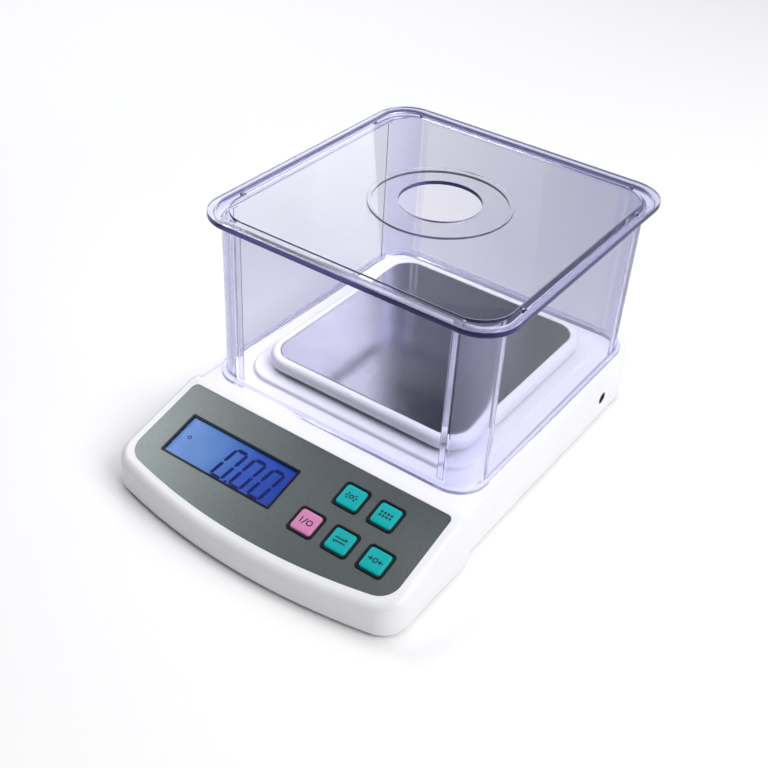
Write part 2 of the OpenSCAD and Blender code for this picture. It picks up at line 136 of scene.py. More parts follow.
def rounded_loop(half_w, half_d, radius, steps=CORNER_STEPS):
    """Rectangle with round corners, anticlockwise, with the same number of points at any size."""
    points = []
    for corner, (sx, sy) in enumerate(((1, 1), (-1, 1), (-1, -1), (1, -1))):
        for i in range(steps + 1):
            angle = (corner + i / steps) * math.pi / 2
            x = sx * (half_w - radius) + radius * math.cos(angle)
            y = sy * (half_d - radius) + radius * math.sin(angle)
            points.append((x, y))
    return points


def circle_loop(radius, count=96):
    angles = [math.tau * i / count for i in range(count)]
    return [(radius * math.cos(a), radius * math.sin(a)) for a in angles]


def mirrored(right):
    """Closes a right-hand half outline that starts at the front's middle."""
    return right + [(-x, y) for x, y in reversed(right[1:])]


def bowed_front(half_w, front, bow, corner, bow_steps=24):
    """Right half of a bowed front edge and its round corner, ending on the straight side."""
    corner_x = half_w - corner
    corner_y = front + bow - math.sqrt((bow - corner) ** 2 - corner_x ** 2)
    turn = math.asin(corner_x / (bow - corner))
    points = []
    for i in range(bow_steps + 1):
        angle = turn * i / bow_steps
        points.append((bow * math.sin(angle), front + bow - bow * math.cos(angle)))
    for i in range(1, CORNER_STEPS + 1):
        angle = turn + (math.pi / 2 - turn) * i / CORNER_STEPS
        points.append((corner_x + corner * math.sin(angle), corner_y - corner * math.cos(angle)))
    return points


def back_corner(half_w, back, radius):
    """Quarter turn from the side to the back."""
    points = []
    for i in range(CORNER_STEPS + 1):
        angle = math.pi / 2 * i / CORNER_STEPS
        x = half_w - radius + radius * math.cos(angle)
        points.append((x, back - radius + radius * math.sin(angle)))
    return points


def casing_outline(inset):
    """Plan of the casing, drawn in by inset, about the pan's centre."""
    low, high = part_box("upper_casing")
    half_w, front, rear = high.x - inset, low.y - PAN.y + inset, high.y - PAN.y - inset
    right = bowed_front(half_w, front, BOW_RADIUS - inset, CASING_CORNER - inset)
    levels = 7
    for i in range(levels):
        right.append((half_w, -CREASE + CREASE_BLEND * (2 * i / (levels - 1) - 1)))
    right.append((half_w, -SECTION - inset))
    right.append((REAR_HALF - inset, -SECTION - inset))
    right += back_corner(REAR_HALF - inset, rear, CASING_CORNER - inset)
    return mirrored(right)


def overlay_outline(grow):
    right = bowed_front(
        OVERLAY_HALF + grow, -OVERLAY_LENGTH - grow, OVERLAY_BOW + grow, OVERLAY_CORNER + grow)
    right += back_corner(OVERLAY_HALF + grow, grow, OVERLAY_BACK_CORNER + grow)
    return mirrored(right)


def deck_height(y):
    """Height of the casing's top face over a point, with a soft bend at the crease."""
    down = -CREASE - y
    if down <= -CREASE_BLEND:
        run = 0
    elif down < CREASE_BLEND:
        run = (down + CREASE_BLEND) ** 2 / (4 * CREASE_BLEND)
    else:
        run = down
    return DECK_Z - math.tan(SLOPE) * run


# ---------- mesh building ----------

def quarter(steps=EASE_STEPS):
    return [math.pi / 2 * i / steps for i in range(steps + 1)]


def eased(half_w, half_d, radius, low, high, edge):
    """Sections (half width, half depth, radius, height) of a slab with rounded upper and lower edges."""
    arc = [(edge * (1 - math.cos(a)), edge * (1 - math.sin(a))) for a in quarter()]
    levels = [(inset, low + drop) for inset, drop in reversed(arc)]
    levels += [(inset, high - drop) for inset, drop in arc]
    return [(half_w - inset, half_d - inset, radius - inset, z) for inset, z in levels]


def rounded_rings(sections, centre=Vector((0, 0, 0)), steps=CORNER_STEPS):
    rings = []
    for half_w, half_d, radius, z in sections:
        loop = rounded_loop(half_w, half_d, radius, steps)
        rings.append([Vector((x + centre.x, y + centre.y, z)) for x, y in loop])
    return rings


def round_rings(sections, centre=Vector((0, 0, 0)), count=96):
    """Rings for sections (radius, height)."""
    rings = []
    for radius, z in sections:
        rings.append([Vector((x + centre.x, y + centre.y, z)) for x, y in circle_loop(radius, count)])
    return rings


def loft(bm, rings, closed=False):
    """Joins rings of equal count by quads. closed joins the last to the first, else both ends are capped."""
    loops = [[bm.verts.new(p) for p in ring] for ring in rings]
    pairs = list(zip(loops, loops[1:]))
    if closed:
        pairs.append((loops[-1], loops[0]))
    for low, high in pairs:
        for i in range(len(low)):
            j = (i + 1) % len(low)
            bm.faces.new((low[i], low[j], high[j], high[i]))
    if not closed:
        bm.faces.new(list(reversed(loops[0])))
        bm.faces.new(loops[-1])


def prism(bm, outline, low, high):
    """Upright prism on a plan outline."""
    loft(bm, [[Vector((x, y, z)) for x, y in outline] for z in (low, high)])


def solid(name, bm, matrix=None):
    """Object from a bmesh, moved by matrix."""
    if matrix is not None:
        bmesh.ops.transform(bm, matrix=matrix, verts=bm.verts)
    bmesh.ops.recalc_face_normals(bm, faces=bm.faces)
    mesh = bpy.data.meshes.new(name)
    bm.to_mesh(mesh)
    bm.free()
    made = bpy.data.objects.new(name, mesh)
    bpy.context.scene.collection.objects.link(made)
    return made


def lofted(name, rings, closed=False, matrix=None):
    bm = bmesh.new()
    loft(bm, rings, closed)
    return solid(name, bm, matrix)


def carve(target, cutters, operation="DIFFERENCE"):
    """Cuts the cutters out of target, or joins them to it, and removes them."""
    for cutter in cutters:
        step = target.modifiers.new("carve", "BOOLEAN")
        step.operation = operation
        step.solver = "EXACT"
        step.object = cutter
    graph = bpy.context.evaluated_depsgraph_get()
    mesh = bpy.data.meshes.new_from_object(target.evaluated_get(graph))
    target.modifiers.clear()
    target.data = mesh
    for cutter in cutters:
        bpy.data.objects.remove(cutter)


def finish_piece(piece, body, finish, replaced=(), zones=()):
    """Crisp and smooth edges, finish and body of a piece that is in place.

    Each zone is a finish and a test of a face's centre and normal; the first that fits takes the face.
    """
    piece.data.materials.clear()
    for name in [finish] + [name for name, _ in zones]:
        piece.data.materials.append(FINISHES[name])
    bm = bmesh.new()
    bm.from_mesh(piece.data)
    bmesh.ops.remove_doubles(bm, verts=bm.verts, dist=0.001 * MM)
    bmesh.ops.dissolve_degenerate(bm, edges=bm.edges, dist=0.001 * MM)
    for face in bm.faces:
        face.smooth = True
        face.material_index = 0
        for index, (_, fits) in enumerate(zones, 1):
            if fits(face.calc_center_median(), face.normal):
                face.material_index = index
                break
    for edge in bm.edges:
        edge.smooth = len(edge.link_faces) == 2 and edge.calc_face_angle() < SHARP
    bm.to_mesh(piece.data)
    bm.free()
    shading = piece.modifiers.new("even_shading", "WEIGHTED_NORMAL")
    shading.keep_sharp = True
    if replaced:
        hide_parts(*replaced)
    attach(piece, body)
    return piece


# ---------- materials ----------

class Finish:
    """A node material on one Principled shader, with object coordinates for its patterns."""

    def __init__(self, name, **constants):
        self.material = bpy.data.materials.new(name)
        self.material.use_nodes = True
        self.tree = self.material.node_tree
        self.shader = self.tree.nodes["Principled BSDF"]
        self.place = self.tree.nodes.new("ShaderNodeTexCoord").outputs["Object"]
        for socket, value in constants.items():
            self.shader.inputs[socket.replace("_", " ")].default_value = value

    def link(self, start, end):
        self.tree.links.new(start, end)

    def noise(self, size, detail=2.0, stretch=(1, 1, 1)):
        """Noise whose features are about size metres across, stretched along the axes."""
        mapping = self.tree.nodes.new("ShaderNodeMapping")
        mapping.inputs["Scale"].default_value = [1 / (size * s) for s in stretch]
        texture = self.tree.nodes.new("ShaderNodeTexNoise")
        texture.inputs["Scale"].default_value = 1.0
        texture.inputs["Detail"].default_value = detail
        self.link(self.place, mapping.inputs["Vector"])
        self.link(mapping.outputs["Vector"], texture.inputs["Vector"])
        return texture.outputs["Fac"]

    def blend(self, factor, low, high, start=0.3, end=0.7):
        """Colour that goes from low to high as factor goes from start to end."""
        ramp = self.tree.nodes.new("ShaderNodeValToRGB")
        ramp.color_ramp.elements[0].position = start
        ramp.color_ramp.elements[0].color = (*low, 1)
        ramp.color_ramp.elements[1].position = end
        ramp.color_ramp.elements[1].color = (*high, 1)
        self.link(factor, ramp.inputs["Fac"])
        return ramp.outputs["Color"]

    def spread(self, factor, low, high):
        """Number from low to high as factor goes from 0.3 to 0.7."""
        node = self.tree.nodes.new("ShaderNodeMapRange")
        node.inputs["From Min"].default_value = 0.3
        node.inputs["From Max"].default_value = 0.7
        node.inputs["To Min"].default_value = low
        node.inputs["To Max"].default_value = high
        self.link(factor, node.inputs["Value"])
        return node.outputs["Result"]

    def relief(self, factor, height):
        """Bump of that height in metres."""
        bump = self.tree.nodes.new("ShaderNodeBump")
        bump.inputs["Strength"].default_value = 1.0
        bump.inputs["Distance"].default_value = height
        self.link(factor, bump.inputs["Height"])
        self.link(bump.outputs["Normal"], self.shader.inputs["Normal"])

    def along(self, axis):
        """One coordinate of the point, in metres."""
        split = self.tree.nodes.new("ShaderNodeSeparateXYZ")
        self.link(self.place, split.inputs["Vector"])
        return split.outputs[axis]


def moulded(name, colour, shade, rough, grain=0.35 * MM, height=0.004 * MM, **constants):
    """Moulded plastic or rubber: slight drift of tone, and the fine texture of the mould."""
    finish = Finish(name, **constants)
    drift = finish.noise(30 * MM)
    fine = finish.noise(grain, 3.0)
    finish.link(finish.blend(drift, shade, colour), finish.shader.inputs["Base Color"])
    finish.link(finish.spread(fine, rough * 0.85, rough * 1.15), finish.shader.inputs["Roughness"])
    finish.relief(fine, height)
    return finish.material


def metal(name, colour, shade, rough, stretch=(1, 1, 1), grain=0.5 * MM, height=0.002 * MM):
    """Metal with brushing or machining marks drawn out along the longest axis of stretch."""
    finish = Finish(name, Metallic=1.0)
    marks = finish.noise(grain, 3.0, stretch)
    drift = finish.noise(25 * MM)
    finish.link(finish.blend(drift, shade, colour), finish.shader.inputs["Base Color"])
    finish.link(finish.spread(marks, rough * 0.8, rough * 1.2), finish.shader.inputs["Roughness"])
    finish.relief(marks, height)
    return finish.material


def metallic_print(name):
    """Silver-grey printed sheet: tiny light and dark flakes, mostly metallic."""
    finish = Finish(name, Metallic=0.7)
    flakes = finish.noise(0.28 * MM, 4.0)
    finish.link(
        finish.blend(flakes, (0.105, 0.122, 0.122), (0.175, 0.198, 0.196), 0.25, 0.75),
        finish.shader.inputs["Base Color"])
    finish.link(finish.spread(flakes, 0.26, 0.36), finish.shader.inputs["Roughness"])
    finish.relief(flakes, 0.003 * MM)
    return finish.material


def clear_plastic(name, tint, shade, lamp, bend, rough=0.02, clear=1.0, gloss=0.4):
    """Clear moulded plastic that lamps shine through, with painted shade: its colour goes from tint at the left to
    a darker shade at the right.
    """
    finish = Finish(
        name, IOR=bend, Transmission_Weight=clear, Roughness=rough, Specular_Tint=(gloss, gloss, gloss, 1))
    nodes = finish.tree.nodes
    # Painted shade: the colour darkens from the shield's left to its right, as the light falls there, with a
    # little random drift.
    painted_shade_ramp = nodes.new("ShaderNodeMapRange")
    painted_shade_ramp.inputs["From Min"].default_value = -SHIELD_HALF[0]
    painted_shade_ramp.inputs["From Max"].default_value = SHIELD_HALF[0]
    finish.link(finish.along("X"), painted_shade_ramp.inputs["Value"])
    drift = nodes.new("ShaderNodeMath")
    drift.operation = "MULTIPLY_ADD"
    drift.inputs[1].default_value = 0.2
    finish.link(finish.noise(40 * MM), drift.inputs[0])
    finish.link(painted_shade_ramp.outputs["Result"], drift.inputs[2])
    hue = finish.blend(drift.outputs["Value"], tint, shade, 0.1, 1.0)
    finish.link(hue, finish.shader.inputs["Base Color"])
    path = nodes.new("ShaderNodeLightPath")
    lamp_side = nodes.new("ShaderNodeBsdfTransparent")
    lamp_side.inputs["Color"].default_value = (*lamp, 1)
    choice = nodes.new("ShaderNodeMixShader")
    finish.link(path.outputs["Is Shadow Ray"], choice.inputs["Fac"])
    finish.link(finish.shader.outputs["BSDF"], choice.inputs[1])
    finish.link(lamp_side.outputs["BSDF"], choice.inputs[2])
    finish.link(choice.outputs["Shader"], nodes["Material Output"].inputs["Surface"])
    return finish.material


def thin_window(name):
    """Flat clear window: shows what is behind it, with gloss on both faces that grows at grazing angles."""
    finish = Finish(name, Roughness=0.05)
    nodes = finish.tree.nodes
    hue = finish.noise(20 * MM)
    clear = nodes.new("ShaderNodeBsdfTransparent")
    finish.link(finish.blend(hue, (0.93, 0.95, 0.98), (0.97, 0.98, 1.0)), clear.inputs["Color"])
    finish.shader.inputs["Base Color"].default_value = (0.02, 0.02, 0.03, 1)
    slant = nodes.new("ShaderNodeLayerWeight")
    slant.inputs["Blend"].default_value = 0.5
    grazing = nodes.new("ShaderNodeMath")
    grazing.operation = "POWER"
    grazing.inputs[1].default_value = 5.0
    finish.link(slant.outputs["Facing"], grazing.inputs[0])
    gloss = nodes.new("ShaderNodeMath")
    gloss.operation = "MULTIPLY_ADD"
    gloss.inputs[1].default_value = 0.97
    gloss.inputs[2].default_value = 0.03
    finish.link(grazing.outputs["Value"], gloss.inputs[0])
    choice = nodes.new("ShaderNodeMixShader")
    finish.link(gloss.outputs["Value"], choice.inputs["Fac"])
    finish.link(clear.outputs["BSDF"], choice.inputs[1])
    finish.link(finish.shader.outputs["BSDF"], choice.inputs[2])
    finish.link(choice.outputs["Shader"], nodes["Material Output"].inputs["Surface"])
    return finish.material


def lit_display(name):
    """Backlit liquid crystal: brighter towards its left end, with a fine grain."""
    low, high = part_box("lcd_glass")
    finish = Finish(name, Roughness=0.25, Emission_Strength=1.0)
    span = finish.tree.nodes.new("ShaderNodeMapRange")
    span.inputs["From Min"].default_value = low.x
    span.inputs["From Max"].default_value = high.x
    finish.link(finish.along("X"), span.inputs["Value"])
    grain = finish.noise(0.4 * MM)
    blur = finish.tree.nodes.new("ShaderNodeMath")
    blur.operation = "MULTIPLY_ADD"
    blur.inputs[1].default_value = 0.06
    finish.link(grain, blur.inputs[0])
    finish.link(span.outputs["Result"], blur.inputs[2])
    glow = finish.tree.nodes.new("ShaderNodeValToRGB")
    ramp = glow.color_ramp
    ramp.elements[0].position = 0.0
    ramp.elements[0].color = (0.125, 0.25, 0.55, 1)
    ramp.elements[1].position = 1.0
    ramp.elements[1].color = (0.005, 0.026, 0.28, 1)
    ramp.elements.new(0.38).color = (0.068, 0.185, 0.45, 1)
    ramp.elements.new(0.66).color = (0.016, 0.062, 0.37, 1)
    finish.link(blur.outputs["Value"], glow.inputs["Fac"])
    finish.link(glow.outputs["Color"], finish.shader.inputs["Emission Color"])
    finish.shader.inputs["Base Color"].default_value = (0.01, 0.03, 0.12, 1)
    return finish.material


def wrapped_cell(name):
    """Printed jacket of a round cell: dark body with a lighter band at one end."""
    finish = Finish(name, Metallic=0.6, Roughness=0.3)
    low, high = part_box("batteries")
    band = finish.tree.nodes.new("ShaderNodeMapRange")
    band.inputs["From Min"].default_value = low.x
    band.inputs["From Max"].default_value = high.x
    finish.link(finish.along("X"), band.inputs["Value"])
    finish.link(
        finish.blend(band.outputs["Result"], (0.45, 0.32, 0.12), (0.05, 0.12, 0.35), 0.22, 0.26),
        finish.shader.inputs["Base Color"])
    finish.relief(finish.noise(0.6 * MM), 0.002 * MM)
    return finish.material


def make_finishes():
    """A finish for each of the record's slots, and for the shield's and lid's zones and the marks."""
    return {
        "casing_white": moulded("casing_white", (0.86, 0.86, 0.88), (0.83, 0.83, 0.855), 0.34),
        "tray_white": moulded("tray_white", (0.87, 0.87, 0.865), (0.84, 0.84, 0.84), 0.3),
        "overlay_grey": metallic_print("overlay_grey"),
        "display_black": moulded(
            "display_black", (0.006, 0.006, 0.018), (0.003, 0.003, 0.01), 0.3, Specular_IOR_Level=0.2),
        "window_clear": thin_window("window_clear"),
        "lcd_blue": lit_display("lcd_blue"),
        "backlight_white": moulded("backlight_white", (0.8, 0.85, 0.95), (0.75, 0.8, 0.9), 0.3),
        "surround_black": moulded(
            "surround_black", (0.004, 0.006, 0.008), (0.002, 0.004, 0.005), 0.4, Specular_IOR_Level=0.2),
        "key_teal": moulded(
            "key_teal", (0.0, 0.42, 0.42), (0.0, 0.38, 0.39), 0.42, Specular_IOR_Level=0.2),
        "key_pink": moulded(
            "key_pink", (0.66, 0.24, 0.45), (0.60, 0.21, 0.41), 0.42, Specular_IOR_Level=0.2),
        "board_green": moulded("board_green", (0.03, 0.22, 0.09), (0.02, 0.14, 0.06), 0.3, 1.2 * MM),
        "component_dark": moulded("component_dark", (0.05, 0.05, 0.055), (0.03, 0.03, 0.034), 0.5),
        "screw_steel": metal("screw_steel", (0.62, 0.62, 0.63), (0.5, 0.5, 0.52), 0.28),
        "contact_steel": metal("contact_steel", (0.66, 0.65, 0.62), (0.55, 0.54, 0.52), 0.3),
        "cell_aluminium": metal("cell_aluminium", (0.78, 0.79, 0.8), (0.7, 0.71, 0.73), 0.35, (1, 14, 1)),
        "gauge_coating": moulded("gauge_coating", (0.85, 0.83, 0.78), (0.78, 0.76, 0.7), 0.5),
        "lead_grey": moulded("lead_grey", (0.13, 0.13, 0.14), (0.09, 0.09, 0.1), 0.45),
        "rubber_black": moulded("rubber_black", (0.03, 0.03, 0.03), (0.02, 0.02, 0.02), 0.7, 0.5 * MM),
        "plate_stainless": metal(
            "plate_stainless", (0.41, 0.41, 0.455), (0.37, 0.37, 0.42), 0.13,
            (16, 1, 1), 0.5 * MM, 0.0006 * MM),
        # The clear finishes below all carry painted shade, darker at the right than at the left.
        "shield_clear": clear_plastic(
            "shield_clear", (0.80, 0.79, 0.86), (0.64, 0.64, 0.745), (0.96, 0.96, 0.98), 1.18),
        "lid_clear": clear_plastic(
            "lid_clear", (0.88, 0.875, 0.92), (0.72, 0.72, 0.80), (0.97, 0.97, 0.98), 1.2),
        # Painted shade: navy violet on the lid's outer edges, where refraction darkens them.
        "lid_edge_shade": clear_plastic(
            "lid_edge_shade", (0.14, 0.135, 0.36), (0.11, 0.105, 0.31), (0.85, 0.85, 0.92), 1.32, 0.2, 0.7, 0.6),
        "shield_thick": clear_plastic(
            "shield_thick", (0.71, 0.71, 0.87), (0.66, 0.66, 0.84), (0.90, 0.90, 0.95),
            1.32, 0.12, 0.86, 0.6),
        # Painted shade: dark navy on the rim's outer band and the finger hole's wall, where refraction darkens the
        # clear plastic.
        "shield_edge_shade": clear_plastic(
            "shield_edge_shade", (0.018, 0.016, 0.10), (0.013, 0.011, 0.08), (0.75, 0.75, 0.85),
            1.32, 0.3, 0.75, 0.6),
        "battery_jacket": wrapped_cell("battery_jacket"),
        "print_dark": moulded(
            "print_dark", (0.006, 0.016, 0.03), (0.004, 0.01, 0.02), 0.45, Specular_IOR_Level=0.2),
        "digit_navy": moulded(
            "digit_navy", (0.010, 0.024, 0.16), (0.008, 0.02, 0.13), 0.5, Specular_IOR_Level=0.1),
    }


FINISHES = make_finishes()


def dress_frame():
    """Gives every CAD node the finish of its slot."""
    for part in frame["record"]["subparts"]:
        node = frame["nodes"][part["node"]]
        if not node.material_slots:
            node.data.materials.append(None)
        for slot in node.material_slots:
            slot.material = FINISHES[part["material_slot"]]


# ---------- casing ----------

def ladder(bm, loop, face_up):
    """Caps a mirrored loop with strips across it, so that the cap may bend along its length."""
    half = len(loop) // 2
    strip = [loop[0]]
    start = 1
    while start <= half:
        right = [loop[start]]
        left = [loop[-start]]
        while start < half and abs(loop[start + 1].co.y - loop[start].co.y) < 0.001 * MM:
            start += 1
            right.append(loop[start])
            left.append(loop[-start])
        corners = strip + right + list(reversed(left))
        face = bm.faces.new(corners)
        face.normal_update()
        if (face.normal.z > 0) != face_up:
            face.normal_flip()
        strip = [left[-1], right[-1]]
        start += 1


def casing_solid(name, inset, low, high_rings):
    """Solid on the casing's plan; high_rings are (inset, drop below the top face) up to its upper edge."""
    bm = bmesh.new()
    rings = []
    for extra, z in low:
        rings.append([Vector((x, y + PAN.y, z)) for x, y in casing_outline(inset + extra)])
    for extra, drop in high_rings:
        outline = casing_outline(inset + extra)
        rings.append([Vector((x, y + PAN.y, deck_height(y) - drop)) for x, y in outline])
    loops = [[bm.verts.new(p) for p in ring] for ring in rings]
    for below, above in zip(loops, loops[1:]):
        for i in range(len(below)):
            j = (i + 1) % len(below)
            bm.faces.new((below[i], below[j], above[j], above[i]))
    bm.faces.new(list(reversed(loops[0])))
    ladder(bm, loops[-1], True)
    return solid(name, bm)


def casing_shell():
    """Upper casing: rounded upper edge, raised pad, panel recess and openings, post and jack holes."""
    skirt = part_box("upper_casing")[0].z
    top_edge = []
    for angle in quarter(6):
        inset = CASING_EASE * (1 - math.cos(angle))
        top_edge.append((inset, CASING_EASE * (1 - math.sin(angle))))
    foot_edge = [(0.6 * MM, skirt), (0.2 * MM, skirt + 0.2 * MM), (0, skirt + 0.7 * MM)]
    shell = casing_solid("casing_shell", 0, foot_edge, top_edge)

    flare = 0.9 * MM
    shoulder = 1.5 * MM
    sections = [(flare, DECK_Z - 1 * MM)]
    for angle in quarter():
        sections.append((flare * (1 - math.sin(angle)), DECK_Z + flare * (1 - math.cos(angle))))
    for angle in quarter():
        sections.append((-shoulder * (1 - math.cos(angle)), PAD_Z - shoulder * (1 - math.sin(angle))))
    pad = lofted("pad", rounded_rings(
        [(PAD_HALF[0] + out, PAD_HALF[1] + out, PAD_RADIUS + out, z) for out, z in sections], PAN))
    carve(shell, [pad], "UNION")

    inside = casing_solid("inside", WALL, [(0, skirt - 1 * MM)], [(0, WALL)])
    carve(shell, [inside] + panel_cutters() + post_cutters() + [jack_cutter()])
    finish_piece(shell, "root", "casing_white", ["upper_casing"])


def panel_cutters():
    """Recess under the overlay, and the openings for the display and the keys."""
    over = 8 * MM
    under = -6 * MM
    recess = bmesh.new()
    prism(recess, overlay_outline(OVERLAY_GAP), -OVERLAY_SEAT, over)
    cutters = [solid("recess", recess, PANEL)]
    window_low, window_high = panel_box("display_frame")
    frame_margin = 1.4 * MM
    spots = [(window_low, window_high, frame_margin, 1 * MM)]
    for key in KEYS:
        low, high = panel_box(key)
        spots.append((low, high, KEY_FLANGE - KEY_GAP - KEY_RING - OVERLAY_GAP, 2.5 * MM))
    for low, high, margin, radius in spots:
        centre = (low + high) / 2
        half_w = (high.x - low.x) / 2 - margin
        half_d = (high.y - low.y) / 2 - margin
        sections = [(half_w, half_d, radius, under), (half_w, half_d, radius, over)]
        cutters.append(lofted("opening", rounded_rings(sections, centre), matrix=PANEL))
    return cutters


def post_spots():
    """Centres of the four posts under the tray."""
    low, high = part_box("support_caps")
    radius = 6 * MM
    return [Vector((x, y, low.z))
            for x in (low.x + radius, high.x - radius) for y in (low.y + radius, high.y - radius)]


def post_cutters():
    hole = 7.5 * MM
    sections = [
        (hole, DECK_Z - 6 * MM), (hole, PAD_Z - 0.5 * MM),
        (hole + 0.5 * MM, PAD_Z), (hole + 0.5 * MM, PAD_Z + 2 * MM)]
    return [lofted("post_hole", round_rings(sections, spot, 48)) for spot in post_spots()]


def jack_cutter():
    """Round hole in the right side for the power inlet."""
    spot = middle("dc_jack")
    radius = 3.6 * MM
    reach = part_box("dc_jack")[1].x
    sections = [
        (radius, -3 * MM), (radius, -0.1 * MM), (radius + 0.4 * MM, 0.25 * MM), (radius + 0.4 * MM, 3 * MM)]
    turn = Matrix.Translation((reach, spot.y, spot.z)) @ Matrix.Rotation(math.pi / 2, 4, "Y")
    return lofted("jack_hole", round_rings(sections, count=48), matrix=turn)


# ---------- control panel ----------

KEYS = ["key_light", "key_count", "key_power", "key_mode", "key_tare"]


def key_caps():
    """Crowned caps with soft edges, on their hidden flanges and stems."""
    edge = 1.1 * MM
    crown = 0.12 * MM
    for name in KEYS:
        low, high = panel_box(name)
        centre = (low + high) / 2
        flange_half = (high.x - low.x) / 2
        half = flange_half - KEY_FLANGE
        top = high.z
        stem = 1.5 * MM
        sections = [
            (stem, stem, stem, low.z),
            (stem, stem, stem, -3.4 * MM),
            (flange_half, flange_half, 2 * MM, -3.4 * MM),
            (flange_half, flange_half, 2 * MM, -2.65 * MM),
            (half, half, 1.8 * MM, -2.65 * MM),
            (half, half, 1.8 * MM, top - crown - edge)]
        for angle in quarter()[1:]:
            inset = edge * (1 - math.cos(angle))
            z = top - crown - edge * (1 - math.sin(angle))
            sections.append((half - inset, half - inset, 1.8 * MM - inset, z))
        for share, drop in ((0.28, 0.35), (0.4, 0.0)):
            inset = half * share
            sections.append((half - inset, half - inset, 0.6 * MM, top - crown * drop))
        bm = bmesh.new()
        loft(bm, rounded_rings(sections, centre, 8))
        cap = solid("cap_" + name[4:], bm, PANEL)
        slot = "key_pink" if name == "key_power" else "key_teal"
        finish_piece(cap, name[4:] + "_key", slot, [name])
        key_icon(name, centre, top)


def key_surrounds():
    """Black rings with rounded rims round the keys."""
    bm = bmesh.new()
    top = 0.45 * MM
    low = -2.6 * MM
    edge = 0.3 * MM
    for name in KEYS:
        key_low, key_high = panel_box(name)
        inner = (key_high.x - key_low.x) / 2 - KEY_FLANGE + KEY_GAP
        outer = inner + KEY_RING
        sections = [(outer, outer, 2.4 * MM, low)]
        for angle in quarter():
            half = outer - edge * (1 - math.cos(angle))
            sections.append((half, half, 2.3 * MM, top - edge * (1 - math.sin(angle))))
        sections += [
            (inner + 0.15 * MM, inner + 0.15 * MM, 2.1 * MM, top),
            (inner, inner, 2.0 * MM, top - 0.15 * MM),
            (inner, inner, 2.0 * MM, low)]
        loft(bm, rounded_rings(sections, (key_low + key_high) / 2, 8), closed=True)
    finish_piece(solid("surround_rings", bm, PANEL), "root", "surround_black", ["key_surrounds"])


def bar(bm, start, end, width, low, high):
    """Straight printed stroke."""
    start, end = Vector(start), Vector(end)
    along = (end - start).normalized()
    side = Vector((-along.y, along.x)) * width / 2
    prism(bm, [start - side, end - side, end + side, start + side], low, high)


def arc(bm, centre, radius, width, first, last, low, high, steps=20):
    """Printed arc, from angle first to last in degrees."""
    angles = [math.radians(first + (last - first) * i / steps) for i in range(steps + 1)]
    outer = [(centre[0] + (radius + width / 2) * math.cos(a), centre[1] + (radius + width / 2) * math.sin(a))
             for a in angles]
    inner = [(centre[0] + (radius - width / 2) * math.cos(a), centre[1] + (radius - width / 2) * math.sin(a))
             for a in reversed(angles)]
    prism(bm, outer + inner, low, high)


def key_icon(name, centre, top):
    """Plain symbol on a cap: a lamp's rays, two rows of pieces, on and off, swap, or back to zero."""
    bm = bmesh.new()
    low, high = top - 0.03 * MM, top + 0.012 * MM
    line = 0.62 * MM

    def stroke(x0, y0, x1, y1, width=line):
        bar(bm, (x0 * MM, y0 * MM), (x1 * MM, y1 * MM), width, low, high)

    def ring(x, y, radius, first=0, last=359):
        arc(bm, (x * MM, y * MM), radius * MM, line, first, last, low, high)

    if name == "key_light":
        ring(0, 0, 0.95)
        for side in (-1, 1):
            stroke(1.9 * side, 0, 3.6 * side, 0)
            stroke(1.5 * side, 1.0, 2.7 * side, 1.75)
            stroke(1.5 * side, -1.0, 2.7 * side, -1.75)
    elif name == "key_count":
        for x in (-2.85, -0.95, 0.95, 2.85):
            for y in (-0.95, 0.95):
                stroke(x - 0.6, y, x + 0.6, y, 1.2 * MM)
    elif name == "key_power":
        stroke(-2.9, -1.7, -2.9, 1.7)
        stroke(-1.5, -1.9, 0.0, 1.9)
        ring(2.1, 0, 1.4)
    elif name == "key_mode":
        for side in (-1, 1):
            stroke(-3.4 * side, 0.95 * side, 2.6 * side, 0.95 * side)
            stroke(3.5 * side, 0.85 * side, 2.1 * side, 2.0 * side)
    else:
        ring(0, 0, 1.15)
        for side in (-1, 1):
            stroke(-4.2 * side, 0, -2.1 * side, 0)
            for rise in (-1, 1):
                stroke(-2.0 * side, 0, -2.9 * side, 1.0 * rise)
    bmesh.ops.translate(bm, vec=(centre.x, centre.y, 0), verts=bm.verts)
    finish_piece(solid("icon_" + name[4:], bm, PANEL), name[4:] + "_key", "print_dark")


